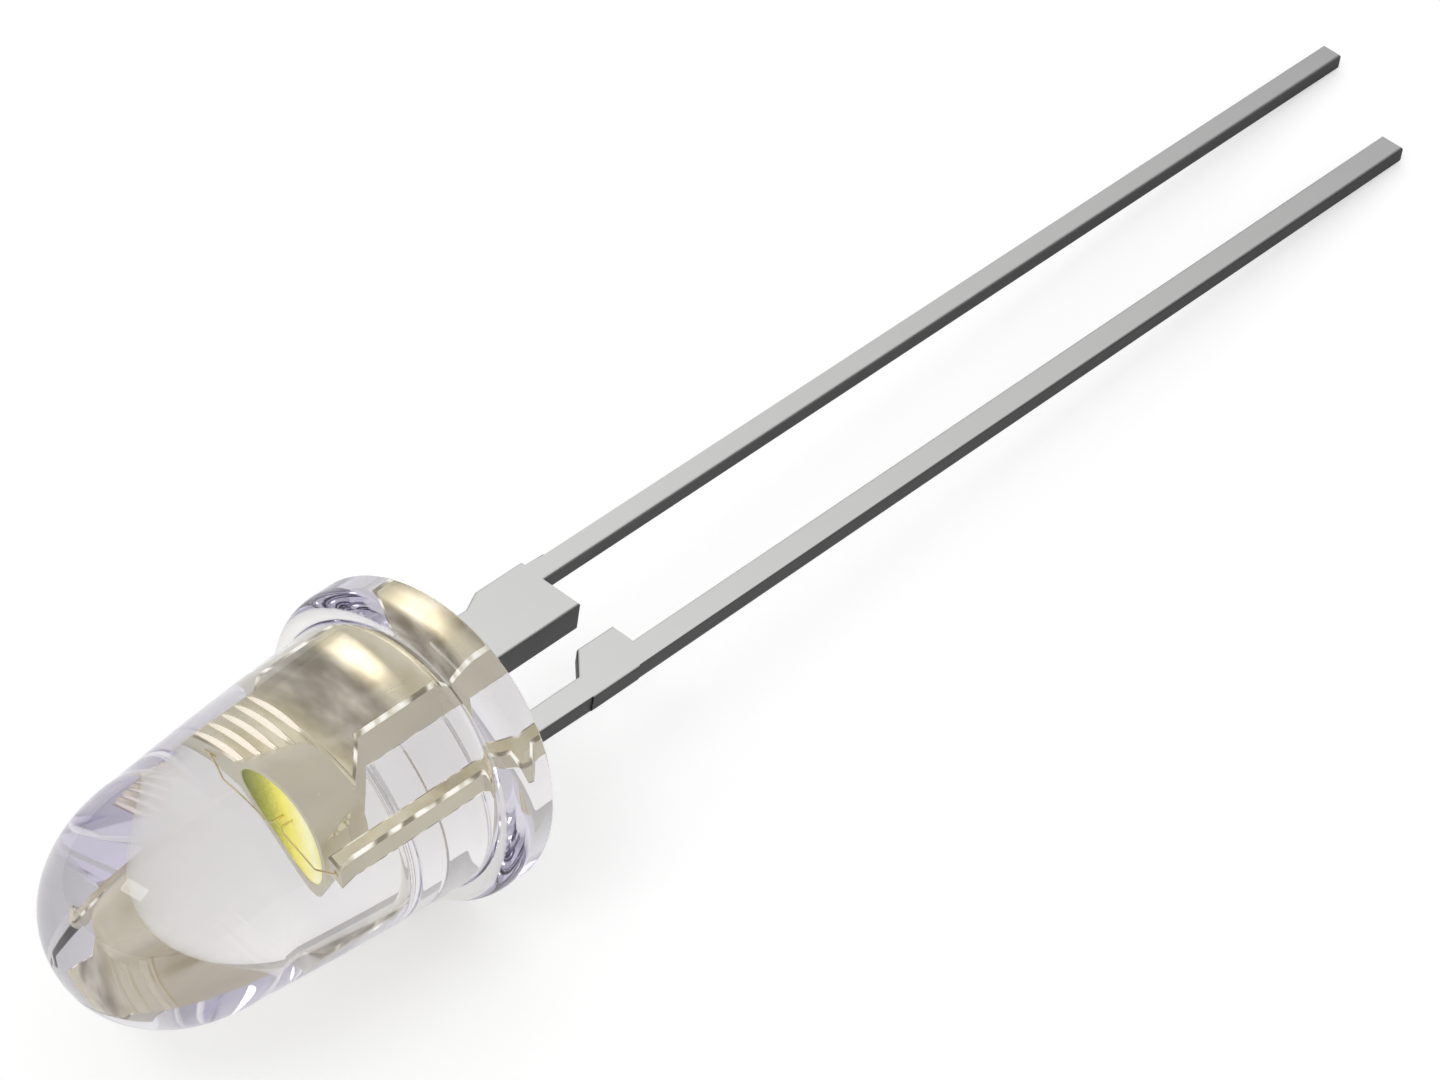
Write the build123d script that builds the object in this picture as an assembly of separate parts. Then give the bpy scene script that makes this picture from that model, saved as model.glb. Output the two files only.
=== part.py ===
from build123d import *
from math import asin, atan, cos, pi, radians, sin, sqrt
import os

# A clear 5 mm through hole LED with a phosphor filled cup, lying on its flange and the tips of its leads.
# The pieces are drawn upright: Z is the lens axis with the dome up and the flange underside at zero, X runs
# from the long lead to the short one, and +Y is the flush front face of the lead frame. The last step lays
# the finished pieces down, as the real one comes to rest.

# Lens, cast in clear epoxy
flange_r = 2.95
flange_t = 0.95
flange_top_rounding = 0.45
flange_foot_chamfer = 0.05
body_root_r = 2.515
body_middle_r = 2.385
shoulder_r = 2.178
shoulder_z = 5.67
nose_h = 2.72
nose_power = 0.86
nose_spans = 6
root_fillet = 0.12
seam_turn = -5.6

# Lead frame, stamped from a strip with a thick gauge for the anvil and a thin one for the leads
pitch = 2.54
anvil_t = 0.62
lead_t = 0.35
long_lead = 27.2
short_lead = 25.8
anvil_lead_w = 0.42
post_lead_w = 0.50
front_y = anvil_t / 2
anvil_back_y = front_y - anvil_t
lead_back_y = front_y - lead_t

# Anvil, on the long lead
standoff_z = -4.12
shank_mark_step = 0.04
shank_mark_h = 0.45
shank_outer_x = -1.62
shank_shoulder_low_z = -2.95
shank_shoulder_high_z = -2.50
anvil_outer_x = -1.42
anvil_inner_x = -0.21
ear_x = -1.25
ear_low_z = 2.00
ear_high_z = 2.45
overhang_x = 0.73
overhang_low_z = 1.90
overhang_high_z = 3.25
head_z = 3.92

# Reflector cup, coined down into the head of the anvil
boss_top_r = 0.80
boss_foot_r = 0.60
boss_foot_z = 2.75
cup_mouth_r = 0.69
cup_floor_r = 0.40
cup_depth = 0.46
groove_count = 5
groove_pitch = 0.30
groove_top_gap = 0.12
groove_r = 0.10
groove_depth = 0.03

# Post, on the short lead
tab_inner_x = 0.54
tab_top_z = -2.70
tab_slant = 0.50
post_mark_step = 0.03
post_mark_low_z = -3.72
post_mark_high_z = -2.52
post_inner_x = 0.94
post_outer_x = 1.22
post_lip_x = 1.30
post_lip_h = 0.35
post_shoulder_low_z = 0.25
post_shoulder_high_z = 0.50

# Chip, its adhesive, the phosphor fill and the gold wires
die_side = 0.35
die_t = 0.12
adhesive_side = 0.40
adhesive_t = 0.02
fill_below_rim = 0.02
fill_sag = 0.03
wire_r = 0.015
wire_sides = 8
ball_r = 0.045
ball_h = 0.03
pad_offset = 0.10
loop_rise = 0.26
loop_bend_r = 0.09
stitch_l = 0.12
stitch_w = 0.07
stitch_t = 0.018

cup_floor_z = head_z - cup_depth
die_top_z = cup_floor_z + adhesive_t + die_t
lead_x = pitch / 2
rest_rounds = 20


def plate(outline, back_y, face_y):
    """A stamped plate: an outline in X and Z, cut through from its back to its front face."""
    front = Plane(origin=(0, face_y, 0), x_dir=(1, 0, 0), z_dir=(0, -1, 0))
    return extrude(front * make_face(Polyline(*outline, close=True)), amount=face_y - back_y)


def frustum(foot_z, foot_r, top_z, top_r):
    """A cone frustum on the lens axis."""
    return Pos(0, 0, (foot_z + top_z) / 2) * Cone(foot_r, top_r, top_z - foot_z)


def nose_radius(height):
    """Radius of the blunt nose at a height over the shoulder."""
    return shoulder_r * (1 - (height / nose_h) ** 2) ** (nose_power / 2)


def lens_body():
    """The outside of the lens, turned: flange with a rounded rim, drafted body and blunt nose. Its seam stands
    a few degrees off +X, so that a lens drawn in flats rests on one flat of its rim, with the part's weight
    over it, and not on a corner between two."""
    rounding_r = flange_r - flange_top_rounding
    rounding_z = flange_t - flange_top_rounding
    root_z = rounding_z + sqrt(flange_top_rounding**2 - (body_root_r - rounding_r) ** 2)
    crest_turn = radians(45)
    crest = (rounding_r + flange_top_rounding * cos(crest_turn), rounding_z + flange_top_rounding * sin(crest_turn))
    underside = Line((0, 0), (flange_r - flange_foot_chamfer, 0))
    foot_edge = Line(underside @ 1, (flange_r, flange_foot_chamfer))
    rim = Line(foot_edge @ 1, (flange_r, rounding_z))
    rim_edge = ThreePointArc(rim @ 1, crest, (body_root_r, root_z))
    body = ThreePointArc(rim_edge @ 1, (body_middle_r, (flange_t + shoulder_z) / 2), (shoulder_r, shoulder_z))
    heights = [nose_h * sin(pi / 2 * span / nose_spans) for span in range(nose_spans + 1)]
    nose = Spline([(nose_radius(h), shoulder_z + h) for h in heights], tangents=[body % 1, (-1, 0)])
    axis = Line(nose @ 1, (0, 0))
    section = make_face([underside, foot_edge, rim, rim_edge, body, nose, axis])
    root = section.vertices().sort_by_distance((body_root_r, root_z, 0))[0]
    return Rot(0, 0, seam_turn) * revolve(Plane.XZ * fillet(root, root_fillet), Axis.Z)


def anvil_outline():
    """The stamped anvil down to its stand-off, with the overhang and the ear that carry the cup."""
    return [
        (shank_outer_x, standoff_z),
        (shank_outer_x, shank_shoulder_low_z),
        (anvil_outer_x, shank_shoulder_high_z),
        (anvil_outer_x, ear_low_z),
        (ear_x, ear_high_z),
        (ear_x, head_z),
        (overhang_x, head_z),
        (overhang_x, overhang_high_z),
        (anvil_inner_x, overhang_low_z),
        (anvil_inner_x, standoff_z),
    ]


def long_lead_outline():
    """The long lead in the thin gauge; the cut dam bar leaves its outer edge a little proud at the top."""
    left = -lead_x - anvil_lead_w / 2
    right = -lead_x + anvil_lead_w / 2
    joint_z = standoff_z + lead_t
    return [
        (left, -long_lead),
        (left, standoff_z - shank_mark_h),
        (left - shank_mark_step, standoff_z - shank_mark_h),
        (left - shank_mark_step, joint_z),
        (right, joint_z),
        (right, -long_lead),
    ]


def locking_grooves():
    """Shallow grooves rolled across the ear, front and back, that key the anvil into the epoxy."""
    length = overhang_x - ear_x
    roller = Rot(0, 90, 0) * Cylinder(groove_r, 2 * length)
    grooves = []
    for row in range(groove_count):
        z = head_z - groove_top_gap - groove_pitch * row
        for y in (front_y + groove_r - groove_depth, anvil_back_y - groove_r + groove_depth):
            grooves.append(Pos(ear_x + length / 2, y, z) * roller)
    return grooves


def cup_space():
    """The reflector's conical hollow, from its flat floor to its mouth."""
    return frustum(cup_floor_z, cup_floor_r, head_z, cup_mouth_r)


def anvil_lead():
    """Long lead, shank, anvil and coined reflector cup, all one stamping."""
    anvil = plate(anvil_outline(), anvil_back_y, front_y)
    boss = frustum(boss_foot_z, boss_foot_r, head_z, boss_top_r)
    lead = plate(long_lead_outline(), lead_back_y, front_y)
    return (anvil - locking_grooves() + boss + lead) - cup_space()


def post_outline():
    """The stamped post, from its stand-off tab to the lip that takes the wire; the cut dam bar shows outside."""
    left = lead_x - post_lead_w / 2
    right = lead_x + post_lead_w / 2
    return [
        (left, -short_lead),
        (left, standoff_z),
        (tab_inner_x, standoff_z),
        (tab_inner_x, tab_top_z - tab_slant),
        (left, tab_top_z),
        (left, post_shoulder_low_z),
        (post_inner_x, post_shoulder_high_z),
        (post_inner_x, head_z),
        (post_lip_x, head_z),
        (post_outer_x, head_z - post_lip_h),
        (post_outer_x, post_shoulder_high_z),
        (right, post_shoulder_low_z),
        (right, post_mark_high_z),
        (right + post_mark_step, post_mark_high_z),
        (right + post_mark_step, post_mark_low_z),
        (right, post_mark_low_z),
        (right, -short_lead),
    ]


def post_lead():
    """Short lead, stand-off tab and post, all one stamping."""
    return plate(post_outline(), lead_back_y, front_y)


def die():
    """The light emitting chip on its adhesive."""
    return Pos(0, 0, die_top_z - die_t / 2) * Box(die_side, die_side, die_t)


def die_attach():
    """The thin layer of adhesive on the floor of the cup."""
    return Pos(0, 0, cup_floor_z + adhesive_t / 2) * Box(adhesive_side, adhesive_side, adhesive_t)


def bond_wire(pad_x, stitch_x, y):
    """A gold wire, drawn with eight sides: ball on the chip, loop over the rim, stitch on the frame's head."""
    sign = 1 if stitch_x > pad_x else -1
    loop_z = head_z + loop_rise
    stitch_z = head_z + wire_r
    path = FilletPolyline(
        (pad_x, y, die_top_z + ball_h / 2),
        (pad_x, y, loop_z),
        (stitch_x - sign * loop_rise, y, loop_z),
        (stitch_x, y, stitch_z),
        radius=loop_bend_r,
    )
    wire = sweep(Plane(origin=path @ 0, z_dir=path % 0) * RegularPolygon(wire_r, wire_sides), path=path)
    ball = Pos(pad_x, y, die_top_z + ball_h / 2) * Cylinder(ball_r, ball_h)
    stitch = Pos(stitch_x, y, head_z) * extrude(Ellipse(stitch_l / 2, stitch_w / 2), amount=stitch_t)
    head = Pos(stitch_x, y, head_z - stitch_l) * Box(2 * stitch_l, 2 * stitch_l, 2 * stitch_l)
    return (wire + ball + stitch) - head


def phosphor_fill():
    """Phosphor resin that fills the cup to just under its rim, with a slightly sunken top."""
    rim_z = head_z - fill_below_rim
    slope = (cup_mouth_r - cup_floor_r) / cup_depth
    rim_r = cup_mouth_r - slope * fill_below_rim
    floor = Line((0, cup_floor_z), (cup_floor_r, cup_floor_z))
    wall = Line(floor @ 1, (rim_r, rim_z))
    top = ThreePointArc((-rim_r, rim_z), (0, rim_z - fill_sag), (rim_r, rim_z)).trim(0.5, 1)
    return revolve(Plane.XZ * make_face([floor, wall, top, Line(top @ 0, floor @ 0)]), Axis.Z)


def pieces():
    """Every piece of the upright part, by name, cut so that neighbours meet face to face."""
    anvil = anvil_lead()
    post = post_lead()
    wire_y = (front_y + lead_back_y) / 2
    anode_wire = bond_wire(-pad_offset, (ear_x - boss_top_r) / 2, 0)
    cathode_wire = bond_wire(pad_offset, (post_inner_x + post_lip_x) / 2, wire_y)
    chip = die()
    adhesive = die_attach()
    fill = phosphor_fill()
    lens = lens_body() - [anvil, post, fill, anode_wire, cathode_wire]
    phosphor = fill - [chip, adhesive, anode_wire, cathode_wire]
    return {
        "lens": lens,
        "anvil_lead": anvil,
        "post_lead": post,
        "die": chip,
        "die_attach": adhesive,
        "phosphor": phosphor,
        "anode_bond_wire": anode_wire,
        "cathode_bond_wire": cathode_wire,
    }


def rest_angles():
    """Roll about the lens axis and tilt of the dome at which the flange's rim, just over the chamfer at its
    foot, and the back corners of both lead tips touch one plane."""
    long_corner_x = -lead_x + anvil_lead_w / 2
    short_corner_x = lead_x + post_lead_w / 2
    rise = 0.0
    for _ in range(rest_rounds):
        roll = asin((long_lead - short_lead) * rise / (long_corner_x - short_corner_x))
        reach = flange_r + long_corner_x * sin(roll) + lead_back_y * cos(roll)
        rise = reach / (long_lead + flange_foot_chamfer)
    return roll, atan(rise)


def lay_down(upright):
    """The pieces as they lie on the floor plane: dome to -X, front face up, the middle of their box at zero."""
    roll, tilt = rest_angles()
    up = Vector(sin(roll) * cos(tilt), cos(roll) * cos(tilt), sin(tilt))
    to_tips = (up * sin(tilt) - Vector(0, 0, 1)).normalized()
    floor = Plane(origin=(0, 0, 0), x_dir=to_tips, z_dir=up)
    lying = {name: floor.to_local_coords(shape) for name, shape in upright.items()}
    boxes = [shape.bounding_box() for shape in lying.values()]
    middle_x = (min(box.min.X for box in boxes) + max(box.max.X for box in boxes)) / 2
    middle_y = (min(box.min.Y for box in boxes) + max(box.max.Y for box in boxes)) / 2
    onto_floor = Pos(-middle_x, -middle_y, -min(box.min.Z for box in boxes))
    return {name: onto_floor * shape for name, shape in lying.items()}


os.makedirs("parts", exist_ok=True)
for name, shape in lay_down(pieces()).items():
    export_step(shape, f"parts/{name}.step")
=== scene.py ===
from math import atan2, cos, pi, radians, sin, sqrt

import bmesh
import bpy
from mathutils import Matrix, Vector


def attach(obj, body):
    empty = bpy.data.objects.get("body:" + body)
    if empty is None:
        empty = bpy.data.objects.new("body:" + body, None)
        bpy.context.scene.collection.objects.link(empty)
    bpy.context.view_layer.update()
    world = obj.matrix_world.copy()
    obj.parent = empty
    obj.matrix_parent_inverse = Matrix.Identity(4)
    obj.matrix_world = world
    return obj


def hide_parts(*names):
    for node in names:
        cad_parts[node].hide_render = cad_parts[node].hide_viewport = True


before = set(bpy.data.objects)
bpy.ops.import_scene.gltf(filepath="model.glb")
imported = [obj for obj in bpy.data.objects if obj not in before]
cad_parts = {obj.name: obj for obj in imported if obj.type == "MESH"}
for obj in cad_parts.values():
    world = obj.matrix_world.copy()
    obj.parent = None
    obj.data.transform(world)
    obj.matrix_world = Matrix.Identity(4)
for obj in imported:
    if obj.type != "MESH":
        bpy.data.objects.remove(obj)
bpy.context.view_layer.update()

# A clear 5 mm through hole LED, lying on the rim of its flange and the tips of its leads.
# Sizes are in millimetres, in the upright drawing of the part: the lens axis is Z with the dome up, the
# underside of the flange is at zero, and +Y is the flush front face of the lead frame. The matrix LYING
# carries that drawing to where the part lies, in metres.
MM = 0.001
LYING = Matrix((
    (-0.006420126, 0.108260675, -0.99410181, -0.009356901),
    (-0.998246232, -0.059198474, 0.0, 0.0),
    (-0.058849311, 0.992358386, 0.108450872, 0.002927178),
    (0.0, 0.0, 0.0, 1.0),
))
FRONT = LYING.to_3x3() @ Vector((0, 1, 0))

# The lens
FLANGE_R = 2.95
FLANGE_T = 0.95
FLANGE_TOP_ROUNDING = 0.45
FLANGE_FOOT_CHAMFER = 0.05
BODY_ROOT_R = 2.515
BODY_MIDDLE_R = 2.385
SHOULDER_R = 2.178
SHOULDER_Z = 5.67
NOSE_H = 2.72
NOSE_POWER = 0.86
ROOT_FILLET = 0.12

# Fineness of the lens's skin, so that light that turns many times in the nose shows no facets
FACETS_ROUND = 384
NOSE_STEPS = 120
ROUNDING_STEPS = 20
FILLET_STEPS = 10

# Rings on the flat underside, and the gap of the rings beside an edge, which keep its shading flat
UNDERSIDE_RINGS = (0.0, 0.2, 1.0, 2.0, 2.7)
RING_GAP = 0.02

# How far the punched edges of the frame are rounded over, and the shortest edge that is
EDGE_EASING = 0.045
SHORTEST_EASED = 0.2

# The frame's flush front face, and the grooves pressed into it, with painted highlights between the ear and
# the boss
FRONT_Y = 0.31
GROOVE_DEPTH = 0.03
GROOVE_HIGHLIGHT_MIDDLE_X = -0.93
GROOVE_HIGHLIGHT_REACH = 0.34

# The reflector's boss is all that stands further forward than this
BOSS_FROM_Y = 0.33

# The tip of the long lead, and where the leads come out of the stand-offs' shade
LEAD_TIP_Z = -27.2
LEAD_TOP_Z = -1.0

# Where the painted reflections lie on the anvil's rolled face: the middle of the patch, how far it is full and
# where it ends
PAINTED_REFLECTION_AT = (-0.7, 0.31, 0.8)
PAINTED_REFLECTION_FULLY = 1.2
PAINTED_REFLECTION_TO = 2.0

# The patch of painted reflections is at its full above the flange, and there is none inside the flange
NO_PAINTED_REFLECTION_BELOW_Z = 0.8
PAINTED_REFLECTION_FULL_FROM_Z = 1.1

# How much of the plating on a torn, sheared side or on the coined boss scatters light, in the epoxy
TORN_SCATTER = 0.85

# Painted highlights: light that the eased edges and the pressed grooves in the epoxy give out past their share
# of the studio's light, in place of the glints they would gather
EDGE_PAINTED_GLINT = 0.55
GROOVE_PAINTED_GLINT = 0.5

# The phosphor's painted glow, and how far across the cup its painted shade and highlight run
PHOSPHOR_PAINTED_GLOW = 0.6
PHOSPHOR_REACH = 0.7

# Absorption of the blue toner in the epoxy, for each metre of way
TONER_DENSITY = 135.0

# What the white table glows with, past what the lamps give it, to the camera and to the glass and the metal
FLOOR_LIFT_SEEN = 0.42
FLOOR_LIFT_INDIRECT = 0.34
FLOOR_SIDE = 3.0

# What the soft boxes look at, near the middle of the lens, in metres
LENS_MIDDLE = Vector((-0.01, 0, 0.003))

# An edge that turns less than this is shaded smooth
SMOOTH_BELOW = radians(35)

# Kinds of node, and the colour sockets of a Mix node
MATH = "ShaderNodeMath"
MIX = "ShaderNodeMix"
NOISE = "ShaderNodeTexNoise"
RAMP = "ShaderNodeValToRGB"
SPAN = "ShaderNodeMapRange"
VECTOR = "ShaderNodeVectorMath"
FIRST = 6
SECOND = 7
MIXED = 2


def hex_colour(text):
    """An sRGB hex colour as linear red, green, blue and a full alpha."""
    parts = [int(text[i:i + 2], 16) / 255 for i in (0, 2, 4)]
    return tuple(c / 12.92 if c <= 0.04045 else ((c + 0.055) / 1.055) ** 2.4 for c in parts) + (1.0,)


def add(tree, kind, settings=None, links=None):
    """Adds a node. Settings go to its colour ramp, its properties or its inputs, and a link brings in the
    output that is given, or the first output of the node that is given."""
    node = tree.nodes.new(kind)
    for name, value in (settings or {}).items():
        if name == "stops":
            elements = node.color_ramp.elements
            for position, _ in value[2:]:
                elements.new(position)
            for element, (position, colour) in zip(elements, value):
                element.position = position
                element.color = hex_colour(colour)
        elif isinstance(name, str) and hasattr(node, name):
            setattr(node, name, value)
        else:
            node.inputs[name].default_value = value
    for name, source in (links or {}).items():
        output = source.outputs[0] if isinstance(source, bpy.types.Node) else source
        tree.links.new(output, node.inputs[name])
    return node


def new_material(name):
    """An empty node material: the material, its tree and its output node."""
    material = bpy.data.materials.new(name)
    material.use_nodes = True
    tree = material.node_tree
    tree.nodes.clear()
    return material, tree, tree.nodes.new("ShaderNodeOutputMaterial")


def upright_coords(tree):
    """The upright drawing's millimetres at each point, from the object's own coordinates."""
    place = add(tree, "ShaderNodeTexCoord").outputs["Object"]
    turn = LYING.to_3x3().transposed()
    shift = -(turn @ LYING.translation)
    rows = []
    for axis in range(3):
        dot = add(tree, VECTOR, {"operation": "DOT_PRODUCT", 1: turn[axis]}, {0: place}).outputs["Value"]
        moved = add(tree, MATH, {"operation": "ADD", 1: shift[axis]}, {0: dot})
        rows.append(add(tree, MATH, {"operation": "DIVIDE", 1: MM}, {0: moved}))
    return rows


def clear_epoxy():
    """Cast epoxy: water clear and glossy from a polished mould, with the faintest ripple of its shrinkage,
    and a trace of blue toner that shows as lavender where light goes a long way through the rim."""
    material, tree, output = new_material("clear cast epoxy")
    coords = add(tree, "ShaderNodeTexCoord").outputs["Object"]
    # The ripple's waves are 1.7 mm long
    ripple = add(tree, NOISE, {"Scale": 600.0, "Detail": 1.0}, {"Vector": coords})
    bump = add(tree, "ShaderNodeBump", {"Strength": 0.015, "Distance": 0.00002}, {"Height": ripple})
    shader = add(tree, "ShaderNodeBsdfPrincipled", {
        "Base Color": hex_colour("FBFAF6"),
        "Roughness": 0.015,
        "IOR": 1.52,
        "Transmission Weight": 1.0,
    }, {"Normal": bump})
    toner = add(tree, "ShaderNodeVolumeAbsorption", {"Color": hex_colour("EDEBF4"), "Density": TONER_DENSITY})
    tree.links.new(shader.outputs[0], output.inputs["Surface"])
    tree.links.new(toner.outputs[0], output.inputs["Volume"])
    return material


def bare_leads_with_painted_shade(tree, sheared, z):
    """The plating's colour outside the epoxy, with painted shade: the rolled faces bright near the lens and
    greyer towards the tips, and the sheared sides dark, partly as duller cut steel and partly as painted
    shade."""
    along = add(tree, SPAN, {"From Min": LEAD_TIP_Z, "From Max": LEAD_TOP_Z}, {"Value": z})
    # Painted shade: the rolled faces lighter near the lens and greyer towards the tips, the sheared sides near
    # black
    face = add(tree, RAMP, {"stops": [(0.0, "B0B0B0"), (1.0, "DEDEDC")]}, {"Fac": along})
    side = add(tree, RAMP, {"stops": [(0.0, "404040"), (1.0, "545454")]}, {"Fac": along})
    return add(tree, MIX, {"data_type": "RGBA"}, {0: sheared, FIRST: face, SECOND: side}).outputs[MIXED]


def cream_with_painted_reflections(tree, place, sheared, torn, z):
    """The plating's colour in the epoxy: cream, with a patch of painted reflections, dark and pale, on the
    anvil's rolled face, and paler where it is torn."""
    # Noise about a millimetre across, for the cream's tone and for the patch of painted reflections
    tone_and_reflection_noise = add(tree, NOISE, {"Scale": 1.1, "Detail": 3.0, "Roughness": 0.6}, {"Vector": place})
    clear = add(tree, RAMP, {"stops": [(0.35, "DED4B0"), (0.6, "F4EDD3")]}, {"Fac": tone_and_reflection_noise})
    # Painted reflections: dark brown grey and pale patches, as if the rolled face mirrored dark and bright
    # surroundings
    painted_reflection_colour = add(tree, RAMP, {
        "stops": [(0.36, "8E8470"), (0.5, "BDB6A4"), (0.64, "E8E2D0")],
    }, {"Fac": tone_and_reflection_noise})
    off = add(tree, VECTOR, {"operation": "DISTANCE", 1: PAINTED_REFLECTION_AT}, {0: place}).outputs["Value"]
    reflection_nearness = add(tree, SPAN, {"From Min": PAINTED_REFLECTION_TO, "From Max": PAINTED_REFLECTION_FULLY}, {"Value": off})
    above = add(tree, SPAN, {"From Min": NO_PAINTED_REFLECTION_BELOW_Z, "From Max": PAINTED_REFLECTION_FULL_FROM_Z}, {"Value": z})
    on_face = add(tree, MATH, {"operation": "SUBTRACT", 0: 1.0}, {1: sheared})
    there = add(tree, MATH, {"operation": "MULTIPLY"}, {0: reflection_nearness, 1: above})
    share = add(tree, MATH, {"operation": "MULTIPLY"}, {0: there, 1: on_face})
    cream_with_painted_light = add(tree, MIX, {"data_type": "RGBA"}, {0: share, FIRST: clear, SECOND: painted_reflection_colour}).outputs[MIXED]
    return add(tree, MIX, {"data_type": "RGBA", SECOND: hex_colour("FBF4DC")},
               {0: torn, FIRST: cream_with_painted_light}).outputs[MIXED]


def painted_groove_highlight(tree, facing, x, y):
    """Where a groove is pressed into the front face: deep enough, and deeper towards its two ends, so that
    the painted highlight in it is a short bar with pointed ends."""
    depth = add(tree, SPAN, {"From Min": FRONT_Y, "From Max": FRONT_Y - GROOVE_DEPTH}, {"Value": y})
    aside = add(tree, MATH, {"operation": "SUBTRACT", 1: GROOVE_HIGHLIGHT_MIDDLE_X}, {0: x})
    share = add(tree, MATH, {"operation": "DIVIDE", 1: GROOVE_HIGHLIGHT_REACH}, {0: aside})
    bow = add(tree, MATH, {"operation": "POWER", 1: 2.0}, {0: share})
    deeper = add(tree, MATH, {"operation": "SUBTRACT"}, {0: depth, 1: bow})
    pressed = add(tree, SPAN, {"From Min": 0.04, "From Max": 0.2}, {"Value": deeper})
    forward = add(tree, MATH, {"operation": "GREATER_THAN", 1: 0.6}, {0: facing})
    return add(tree, MATH, {"operation": "MULTIPLY"}, {0: pressed, 1: forward})


def silver_plate(name, painted_glints):
    """Silver plated steel strip. In the epoxy it is creamy, with a patch of painted reflections, and along the
    punched edges and in the pressed grooves it is white and gives out light, as painted highlights. Outside
    the epoxy it is neutral, with painted shade."""
    material, tree, output = new_material(name)
    x, y, z = upright_coords(tree)
    place = add(tree, "ShaderNodeCombineXYZ", links={0: x, 1: y, 2: z})
    normal = add(tree, "ShaderNodeTexCoord").outputs["Normal"]
    facing = add(tree, VECTOR, {"operation": "DOT_PRODUCT", 1: FRONT}, {0: normal}).outputs["Value"]
    level = add(tree, MATH, {"operation": "ABSOLUTE"}, {0: facing})
    sheared = add(tree, SPAN, {"From Min": 0.9, "From Max": 0.5}, {"Value": level})
    boss = add(tree, MATH, {"operation": "GREATER_THAN", 1: BOSS_FROM_Y}, {0: y})
    torn = add(tree, MATH, {"operation": "MAXIMUM"}, {0: sheared, 1: boss})
    outside = add(tree, MATH, {"operation": "LESS_THAN", 1: 0.0}, {0: z})
    inside = add(tree, MATH, {"operation": "SUBTRACT", 0: 1.0}, {1: outside})

    if painted_glints:
        # Painted glints along an edge: bright strokes about 0.4 mm long, between darker gaps
        glints = add(tree, NOISE, {"Scale": 2.6, "Detail": 1.0}, {"Vector": place})
        cream_with_painted_light = add(tree, RAMP, {
            "stops": [(0.4, "B4AA90"), (0.52, "F0E8D0"), (0.6, "FFFDF4")],
        }, {"Fac": glints})
        painted_glint = add(tree, SPAN, {"From Min": 0.46, "From Max": 0.6, "To Max": EDGE_PAINTED_GLINT}, {"Value": glints})
        # The edges scatter like white paint in the epoxy, so that their painted glints show from every side
        matte = inside
    else:
        # Painted highlight in the grooves: near white, matte, and giving out light
        groove_highlight = painted_groove_highlight(tree, facing, x, y)
        cream_with_painted_light = add(tree, MIX, {"data_type": "RGBA", SECOND: hex_colour("FFF6E4")}, {
            0: groove_highlight, FIRST: cream_with_painted_reflections(tree, place, sheared, torn, z),
        }).outputs[MIXED]
        painted_glint = add(tree, MATH, {"operation": "MULTIPLY", 1: GROOVE_PAINTED_GLINT}, {0: groove_highlight})
        scatter = add(tree, MATH, {"operation": "MULTIPLY", 1: TORN_SCATTER}, {0: torn})
        matte = add(tree, MATH, {"operation": "MAXIMUM"}, {0: scatter, 1: groove_highlight})
    colour = add(tree, MIX, {"data_type": "RGBA"},
                 {0: outside, FIRST: cream_with_painted_light, SECOND: bare_leads_with_painted_shade(tree, sheared, z)}).outputs[MIXED]
    scattering = add(tree, MATH, {"operation": "MULTIPLY"}, {0: matte, 1: inside})
    metal = add(tree, MATH, {"operation": "SUBTRACT", 0: 1.0}, {1: scattering})
    glow = add(tree, MATH, {"operation": "MULTIPLY"}, {0: inside, 1: painted_glint})

    # Rolling marks 0.05 mm apart, drawn out along the strip
    rolled = add(tree, "ShaderNodeMapping", {"Scale": (1.0, 1.0, 0.04)}, {"Vector": place})
    grain = add(tree, NOISE, {"Scale": 20.0, "Detail": 3.0}, {"Vector": rolled})
    rough = add(tree, SPAN, {"To Min": 0.2, "To Max": 0.3}, {"Value": grain})
    duller = add(tree, MATH, {"operation": "MULTIPLY_ADD", 1: 0.2, 2: 0.1}, {0: sheared})
    dull = add(tree, MATH, {"operation": "MULTIPLY_ADD"}, {0: outside, 1: duller, 2: rough})
    marks = add(tree, "ShaderNodeBump", {"Strength": 0.04, "Distance": 0.00001}, {"Height": grain})

    # The punch leaves the strip a little wavy, over about a millimetre, so what it mirrors breaks into patches
    waves = add(tree, NOISE, {"Scale": 0.9, "Detail": 1.0}, {"Vector": place})
    wavy = add(tree, "ShaderNodeBump", {"Strength": 0.5, "Distance": 0.00008},
               {"Height": waves, "Normal": marks})
    # The emission is the painted highlights of the edges and the grooves, in the epoxy only
    shader = add(tree, "ShaderNodeBsdfPrincipled", links={
        "Base Color": colour,
        "Metallic": metal,
        "Roughness": dull,
        "Normal": wavy,
        "Emission Color": colour,
        "Emission Strength": glow,
    })
    tree.links.new(shader.outputs[0], output.inputs["Surface"])
    return material


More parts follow.
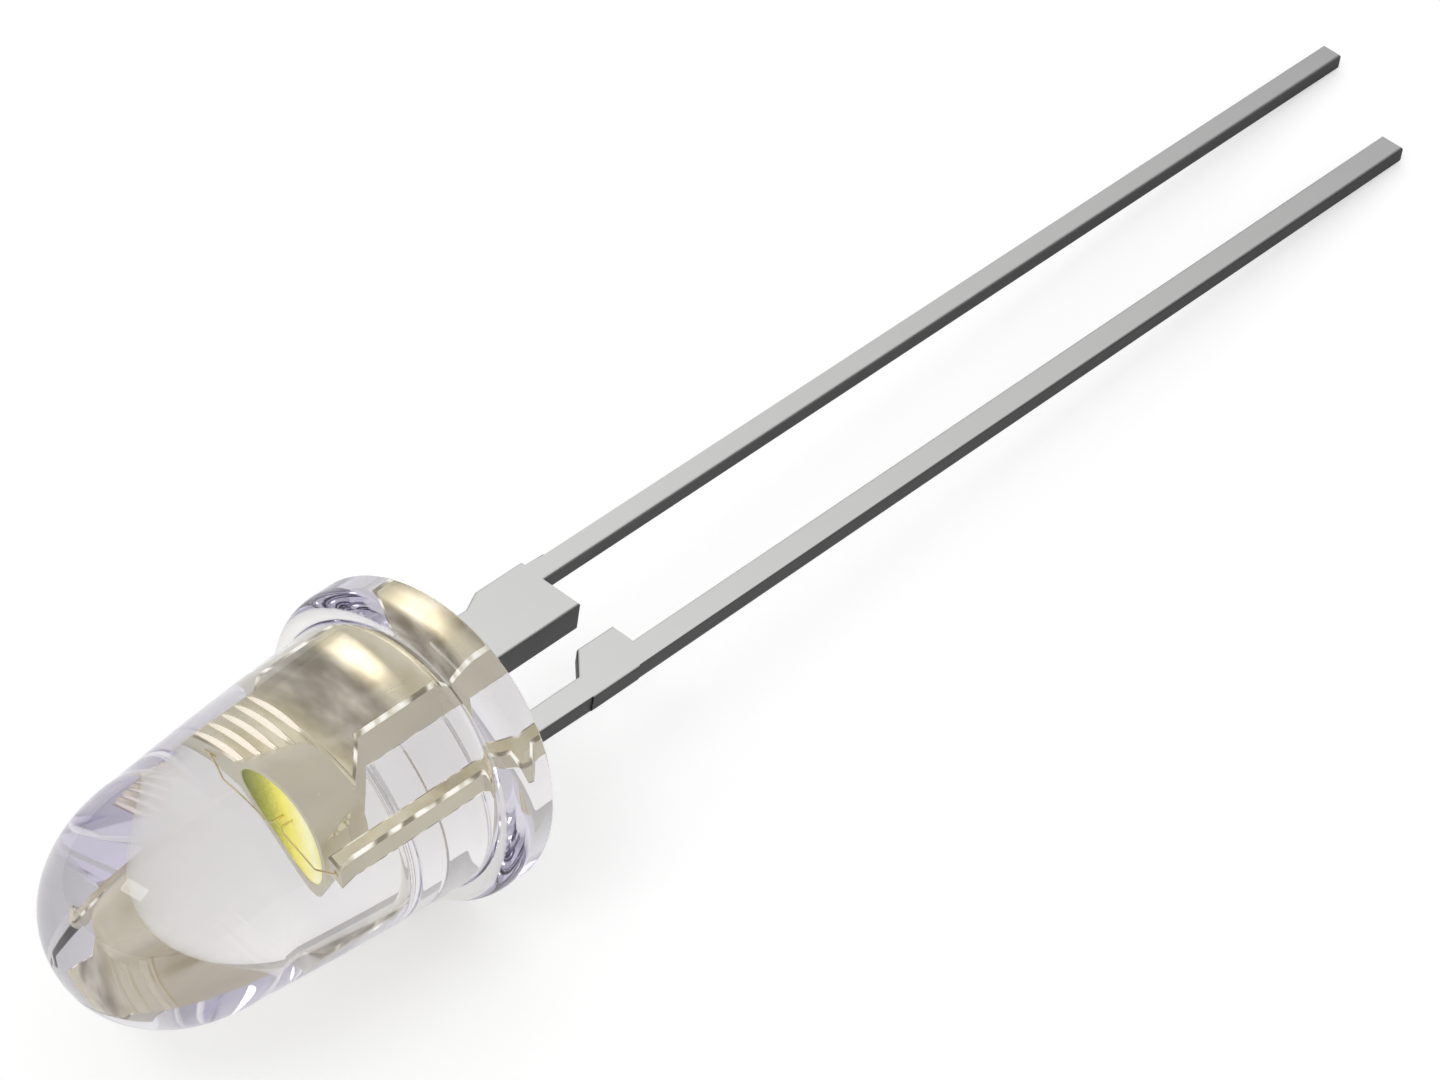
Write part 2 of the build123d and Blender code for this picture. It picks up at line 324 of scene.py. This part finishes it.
def phosphor_resin():
    """Silicone loaded with yellow phosphor grains: matte and a little uneven, with painted shade and a painted
    highlight across the cup, and a painted glow that stands partly for its fluorescence in daylight and partly
    for light that the glass keeps from it."""
    material, tree, output = new_material("yellow phosphor in silicone")
    coords = add(tree, "ShaderNodeTexCoord").outputs["Object"]
    across = add(tree, SPAN, {"From Min": -PHOSPHOR_REACH, "From Max": PHOSPHOR_REACH},
                 {"Value": upright_coords(tree)[0]})
    # Painted shade and highlight across the cup: dark olive where its wall shades it, near white past the
    # middle, and yellow again at the far edge
    base = add(tree, RAMP, {"stops": [
        (0.0, "666E24"), (0.24, "B0B242"), (0.46, "F6EC66"),
        (0.66, "FFF8A4"), (0.82, "FFFDD0"), (1.0, "F2EA80"),
    ]}, {"Fac": across})
    # Grains of 0.045 mm, about three times the real ones, so that they show at all
    grains = add(tree, NOISE, {"Scale": 22000.0, "Detail": 2.0}, {"Vector": coords})
    speck = add(tree, RAMP, {"stops": [(0.35, "E7E7E7"), (0.65, "FFFFFF")]}, {"Fac": grains})
    colour = add(tree, MIX, {"data_type": "RGBA", "blend_type": "MULTIPLY", "Factor": 1.0},
                 {FIRST: base, SECOND: speck}).outputs[MIXED]
    bump = add(tree, "ShaderNodeBump", {"Strength": 0.2, "Distance": 0.00001}, {"Height": grains})
    # The phosphor gives out a painted glow in its own colour
    shader = add(tree, "ShaderNodeBsdfPrincipled", {
        "Roughness": 0.55,
        "IOR": 1.42,
        "Emission Strength": PHOSPHOR_PAINTED_GLOW,
    }, {"Base Color": colour, "Emission Color": colour, "Normal": bump})
    tree.links.new(shader.outputs[0], output.inputs["Surface"])
    return material


def flecked(name, flecks_per_mm, detail, dark, light, settings):
    """A plain finish whose colour wavers a little, for the wires, the chip or its adhesive."""
    material, tree, output = new_material(name)
    coords = add(tree, "ShaderNodeTexCoord").outputs["Object"]
    haze = add(tree, NOISE, {"Scale": flecks_per_mm / MM, "Detail": detail}, {"Vector": coords})
    colour = add(tree, RAMP, {"stops": [(0.3, dark), (0.7, light)]}, {"Fac": haze})
    shader = add(tree, "ShaderNodeBsdfPrincipled", settings, {"Base Color": colour})
    tree.links.new(shader.outputs[0], output.inputs["Surface"])
    return material


def arc(centre, radius, start, end, steps):
    """Points on an arc in the profile's plane, without its first one. Angles in radians."""
    turns = [start + (end - start) * i / steps for i in range(1, steps + 1)]
    return [(centre[0] + radius * cos(a), centre[1] + radius * sin(a)) for a in turns]


def circle_through(a, b, c):
    """Centre and radius of the circle through three points of the profile."""
    ax, ay, bx, by, cx, cy = *a, *b, *c
    d = 2 * (ax * (by - cy) + bx * (cy - ay) + cx * (ay - by))
    ux = ((ax**2 + ay**2) * (by - cy) + (bx**2 + by**2) * (cy - ay) + (cx**2 + cy**2) * (ay - by)) / d
    uy = ((ax**2 + ay**2) * (cx - bx) + (bx**2 + by**2) * (ax - cx) + (cx**2 + cy**2) * (bx - ax)) / d
    return (ux, uy), sqrt((ax - ux) ** 2 + (ay - uy) ** 2)


def lens_profile():
    """Radius and height of the lens from the middle of its underside to the tip of its nose."""
    rounding_r = FLANGE_R - FLANGE_TOP_ROUNDING
    rounding_z = FLANGE_T - FLANGE_TOP_ROUNDING
    root_z = rounding_z + sqrt(FLANGE_TOP_ROUNDING**2 - (BODY_ROOT_R - rounding_r) ** 2)
    flat_r = FLANGE_R - FLANGE_FOOT_CHAMFER

    # The underside, its chamfer and the rim
    points = [(r, 0) for r in (*UNDERSIDE_RINGS, flat_r - RING_GAP, flat_r)]
    points += [(FLANGE_R, FLANGE_FOOT_CHAMFER), (FLANGE_R, FLANGE_FOOT_CHAMFER + RING_GAP)]
    points += [(FLANGE_R, rounding_z - 2 * RING_GAP), (FLANGE_R, rounding_z)]

    # The fillet at the body's root touches the rounding of the rim and the bellied side of the body
    middle = (BODY_MIDDLE_R, (FLANGE_T + SHOULDER_Z) / 2)
    body_centre, body_r = circle_through((BODY_ROOT_R, root_z), middle, (SHOULDER_R, SHOULDER_Z))
    rim_reach = FLANGE_TOP_ROUNDING + ROOT_FILLET
    body_reach = body_r + ROOT_FILLET
    apart_r = rounding_r - body_centre[0]
    apart_z = rounding_z - body_centre[1]
    apart = sqrt(apart_r**2 + apart_z**2)
    along = (body_reach**2 - rim_reach**2 + apart**2) / (2 * apart)
    off = sqrt(body_reach**2 - along**2)
    fillet = (body_centre[0] + (along * apart_r - off * apart_z) / apart,
              body_centre[1] + (along * apart_z + off * apart_r) / apart)
    rim_end = atan2(fillet[1] - rounding_z, fillet[0] - rounding_r)
    body_start = atan2(fillet[1] - body_centre[1], fillet[0] - body_centre[0])
    body_end = atan2(SHOULDER_Z - body_centre[1], SHOULDER_R - body_centre[0])
    points += arc((rounding_r, rounding_z), FLANGE_TOP_ROUNDING, 0, rim_end, ROUNDING_STEPS)
    points += arc(fillet, ROOT_FILLET, rim_end - pi, body_start - pi, FILLET_STEPS)
    points += arc(body_centre, body_r, body_start, body_end, ROUNDING_STEPS)

    # The nose is blunter than an ellipse
    for step in range(1, NOSE_STEPS):
        turn = pi / 2 * step / NOSE_STEPS
        points.append((SHOULDER_R * cos(turn) ** NOSE_POWER, SHOULDER_Z + NOSE_H * sin(turn)))
    return points + [(0, SHOULDER_Z + NOSE_H)]


def turning_tree():
    """Geometry nodes that turn a profile round the Z axis, as the lens's mould was turned."""
    tree = bpy.data.node_groups.new("turn a profile", "GeometryNodeTree")
    for name, way, kind in (
        ("Profile", "INPUT", "NodeSocketGeometry"),
        ("Facets Round", "INPUT", "NodeSocketInt"),
        ("Material", "INPUT", "NodeSocketMaterial"),
        ("Turned", "OUTPUT", "NodeSocketGeometry"),
    ):
        tree.interface.new_socket(name, in_out=way, socket_type=kind)
    given = tree.nodes.new("NodeGroupInput").outputs

    # A grid has a column for each turn of the profile, and a row for each of its points
    rings = add(tree, "GeometryNodeAttributeDomainSize", links={0: given["Profile"]}).outputs["Point Count"]
    columns = add(tree, MATH, {"operation": "ADD", 1: 1.0}, {0: given["Facets Round"]})
    grid = add(tree, "GeometryNodeMeshGrid", links={"Vertices X": columns, "Vertices Y": rings})
    index = add(tree, "GeometryNodeInputIndex")
    ring = add(tree, MATH, {"operation": "MODULO"}, {0: index, 1: rings})
    share = add(tree, MATH, {"operation": "DIVIDE"}, {0: index, 1: rings})
    column = add(tree, MATH, {"operation": "FLOOR"}, {0: share})
    turn = add(tree, MATH, {"operation": "DIVIDE"}, {0: column, 1: given["Facets Round"]})
    angle = add(tree, MATH, {"operation": "MULTIPLY", 1: 2 * pi}, {0: turn})

    # Each point of the grid goes to its point of the profile, turned
    point = add(tree, "GeometryNodeSampleIndex", {"data_type": "FLOAT_VECTOR", "domain": "POINT"})
    tree.links.new(given["Profile"], point.inputs["Geometry"])
    tree.links.new(add(tree, "GeometryNodeInputPosition").outputs[0], point.inputs["Value"])
    tree.links.new(ring.outputs[0], point.inputs["Index"])
    turned = add(tree, "ShaderNodeVectorRotate", {"rotation_type": "Z_AXIS"},
                 {"Vector": point.outputs["Value"], "Angle": angle})
    shell = add(tree, "GeometryNodeSetPosition", links={"Geometry": grid, "Position": turned})
    closed = add(tree, "GeometryNodeMergeByDistance", {"Distance": 1e-7}, {"Geometry": shell})
    smooth = add(tree, "GeometryNodeSetShadeSmooth", {"Shade Smooth": True}, {"Geometry": closed})
    real = add(tree, "GeometryNodeRealizeInstances", links={"Geometry": smooth})
    dressed = add(tree, "GeometryNodeSetMaterial", links={"Geometry": real, "Material": given["Material"]})
    tree.links.new(dressed.outputs[0], tree.nodes.new("NodeGroupOutput").inputs["Turned"])
    return tree


def turned_lens(material):
    """The outside of the lens as one closed skin. The pieces cast in the epoxy stand inside it."""
    profile = bpy.data.meshes.new("lens profile")
    rows = [(r * MM, 0, z * MM) for r, z in lens_profile()]
    profile.from_pydata(rows, [(i, i + 1) for i in range(len(rows) - 1)], [])
    maker = bpy.data.objects.new("lens profile", profile)
    bpy.context.collection.objects.link(maker)
    turning = maker.modifiers.new("turn", "NODES")
    turning.node_group = turning_tree()
    given = {"Facets Round": FACETS_ROUND, "Material": material}
    for item in turning.node_group.interface.items_tree:
        if item.name in given and item.in_out == "INPUT":
            turning[item.identifier] = given[item.name]
    evaluated = maker.evaluated_get(bpy.context.evaluated_depsgraph_get())
    mesh = bpy.data.meshes.new_from_object(evaluated)
    bpy.data.objects.remove(maker)
    mesh.transform(LYING)
    mesh.name = "lens_skin"
    lens = bpy.data.objects.new("lens_skin", mesh)
    bpy.context.collection.objects.link(lens)
    return lens


def punched_edges(shape):
    """The edges between a rolled face of a stamping and its sheared sides, but not the small ones at the
    grooves."""
    found = []
    for edge in shape.edges:
        if len(edge.link_faces) != 2 or edge.calc_length() < SHORTEST_EASED * MM:
            continue
        # One of its faces is sheared and stands across the strip, the other is rolled and lies along it
        facing = sorted(abs(face.normal.dot(FRONT)) for face in edge.link_faces)
        if facing[0] < 0.02 and facing[1] > 0.98 and edge.is_convex:
            found.append(edge)
    return found


def eased_stamping(node, plain, painted_glints):
    """A stamping of the frame with its edges rounded over, as the punch leaves them, and with painted glints
    along them."""
    mesh = bpy.data.meshes.new(f"{node}_plated")
    shape = bmesh.new()
    shape.from_mesh(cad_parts[node].data)
    bmesh.ops.remove_doubles(shape, verts=shape.verts, dist=0.0001 * MM)
    bmesh.ops.dissolve_limit(shape, angle_limit=radians(1), verts=shape.verts, edges=shape.edges)
    weight = shape.edges.layers.float.new("bevel_weight_edge")
    for edge in punched_edges(shape):
        edge[weight] = 1.0
    for face in shape.faces:
        face.smooth = True
    for edge in shape.edges:
        edge.smooth = len(edge.link_faces) == 2 and edge.calc_face_angle() < SMOOTH_BELOW
    shape.to_mesh(mesh)
    shape.free()
    mesh.materials.clear()
    mesh.materials.append(plain)
    mesh.materials.append(painted_glints)
    piece = bpy.data.objects.new(f"{node}_plated", mesh)
    bpy.context.collection.objects.link(piece)
    easing = piece.modifiers.new("eased edges", "BEVEL")
    easing.limit_method = "WEIGHT"
    easing.width = EDGE_EASING * MM
    easing.segments = 3
    easing.use_clamp_overlap = False
    # The eased edges take the second material, the one with the painted glints
    easing.material = 1
    flat = piece.modifiers.new("flat faces stay flat", "WEIGHTED_NORMAL")
    flat.keep_sharp = True
    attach(piece, "root")
    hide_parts(node)


def dress(node, material):
    """Gives a carried-over CAD node its material."""
    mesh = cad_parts[node].data
    mesh.materials.clear()
    mesh.materials.append(material)


def studio_floor():
    """A plain white table, which keeps the part's shadow. It glows for the camera, so that it is white around
    the part, and a little less for what the glass and the metal show of it."""
    material, tree, output = new_material("white table")
    path = add(tree, "ShaderNodeLightPath").outputs
    through = add(tree, MATH, {"operation": "MAXIMUM"},
                  {0: path["Is Transmission Ray"], 1: path["Is Glossy Ray"]})
    partly = add(tree, MATH, {"operation": "MULTIPLY", 1: FLOOR_LIFT_INDIRECT}, {0: through})
    lift = add(tree, MATH, {"operation": "MULTIPLY_ADD", 1: FLOOR_LIFT_SEEN},
               {0: path["Is Camera Ray"], 2: partly})
    paint = add(tree, "ShaderNodeBsdfDiffuse", {"Color": hex_colour("E7E7E7")})
    glow = add(tree, "ShaderNodeEmission", {"Color": hex_colour("FFFFFF")}, {"Strength": lift})
    both = add(tree, "ShaderNodeAddShader", links={0: paint, 1: glow})
    tree.links.new(both.outputs[0], output.inputs["Surface"])
    mesh = bpy.data.meshes.new("studio_floor")
    half = FLOOR_SIDE / 2
    corners = [(-half, -half, 0), (half, -half, 0), (half, half, 0), (-half, half, 0)]
    mesh.from_pydata(corners, [], [(0, 1, 2, 3)])
    mesh.materials.append(material)
    floor = bpy.data.objects.new("studio_floor", mesh)
    bpy.context.collection.objects.link(floor)


def soft_box(name, place, width, height, power):
    """A soft box that looks at the middle of the lens, its width level. Place and sizes are in metres."""
    lamp = bpy.data.lights.new(name, "AREA")
    lamp.shape = "RECTANGLE"
    lamp.size = width
    lamp.size_y = height
    lamp.energy = power
    holder = bpy.data.objects.new(name, lamp)
    holder.location = place
    holder.rotation_euler = (LENS_MIDDLE - Vector(place)).to_track_quat("-Z", "Y").to_euler()
    bpy.context.collection.objects.link(holder)


def studio_light():
    """Even white surroundings, a little darker towards the horizon, and two soft boxes: a small one whose
    image makes the highlights on the anvil and the nose, and a large, weak one at the leads' side."""
    world = bpy.data.worlds.new("studio")
    world.use_nodes = True
    tree = world.node_tree
    tree.nodes.clear()
    way = add(tree, "ShaderNodeTexCoord").outputs["Generated"]
    height = add(tree, "ShaderNodeSeparateXYZ", links={0: way}).outputs["Z"]
    sky = add(tree, RAMP, {
        "stops": [(0.0, "BCBCBC"), (0.5, "D7D7D7"), (1.0, "DDDDDD")],
    }, {"Fac": height})
    back = add(tree, "ShaderNodeBackground", {"Strength": 1.0}, {"Color": sky})
    tree.links.new(back.outputs[0], tree.nodes.new("ShaderNodeOutputWorld").inputs["Surface"])
    bpy.context.scene.world = world
    soft_box("key soft box", (-0.22, -0.01, 0.34), 0.16, 0.08, 0.15)
    soft_box("side panel", (0.315, 0.18, 0.26), 0.5, 0.5, 0.2)


def many_bounces(cycles):
    """Light that is caught in the rim of the lens turns many times before it finds its way out."""
    cycles.max_bounces = 22
    cycles.glossy_bounces = 18
    cycles.transmission_bounces = 18


def photo_camera():
    """A long lens at the photograph's angle, from a fit to the outlines of the lens and the leads."""
    data = bpy.data.cameras.new("camera")
    data.sensor_fit = "HORIZONTAL"
    data.sensor_width = 36.0
    data.lens = 174.52
    data.clip_start = 0.005
    data.clip_end = 10.0
    camera = bpy.data.objects.new("camera", data)
    right = (0.6584229, -0.752625, 0.0059167)
    up = (0.5178095, 0.458675, 0.7221431)
    back = (-0.5462167, -0.4724118, 0.6917184)
    place = (-0.0690102, -0.0581522, 0.0871048)
    turn = Matrix((right, up, back)).transposed().to_4x4()
    camera.matrix_world = Matrix.Translation(place) @ turn
    bpy.context.collection.objects.link(camera)
    bpy.context.scene.camera = camera


plain = silver_plate("silver plated steel strip", painted_glints=False)
painted_glints = silver_plate("silver plated strip edge with painted glints", painted_glints=True)
eased_stamping("anvil_lead", plain, painted_glints)
eased_stamping("post_lead", plain, painted_glints)

# Drawn gold wire: bright and smooth
gold = flecked("drawn gold bonding wire", 30, 1.0, "D8C690", "EADCB2",
               {"Metallic": 1.0, "Roughness": 0.22})
dress("anode_bond_wire", gold)
dress("cathode_bond_wire", gold)

# Gallium nitride on sapphire: dark, blue grey and glossy
dress("die", flecked("nitride chip on sapphire", 9, 2.0, "5E6C84", "76859E",
                     {"Roughness": 0.12, "IOR": 1.77}))

# Cured adhesive: off white and satin
dress("die_attach", flecked("cured die adhesive", 12, 2.0, "D8D4C4", "E8E4D6",
                            {"Roughness": 0.35, "IOR": 1.5}))
dress("phosphor", phosphor_resin())

lens = turned_lens(clear_epoxy())
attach(lens, "root")
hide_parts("lens")

studio_floor()
studio_light()
photo_camera()
bpy.context.scene.view_settings.view_transform = "Standard"
many_bounces(bpy.context.scene.cycles)
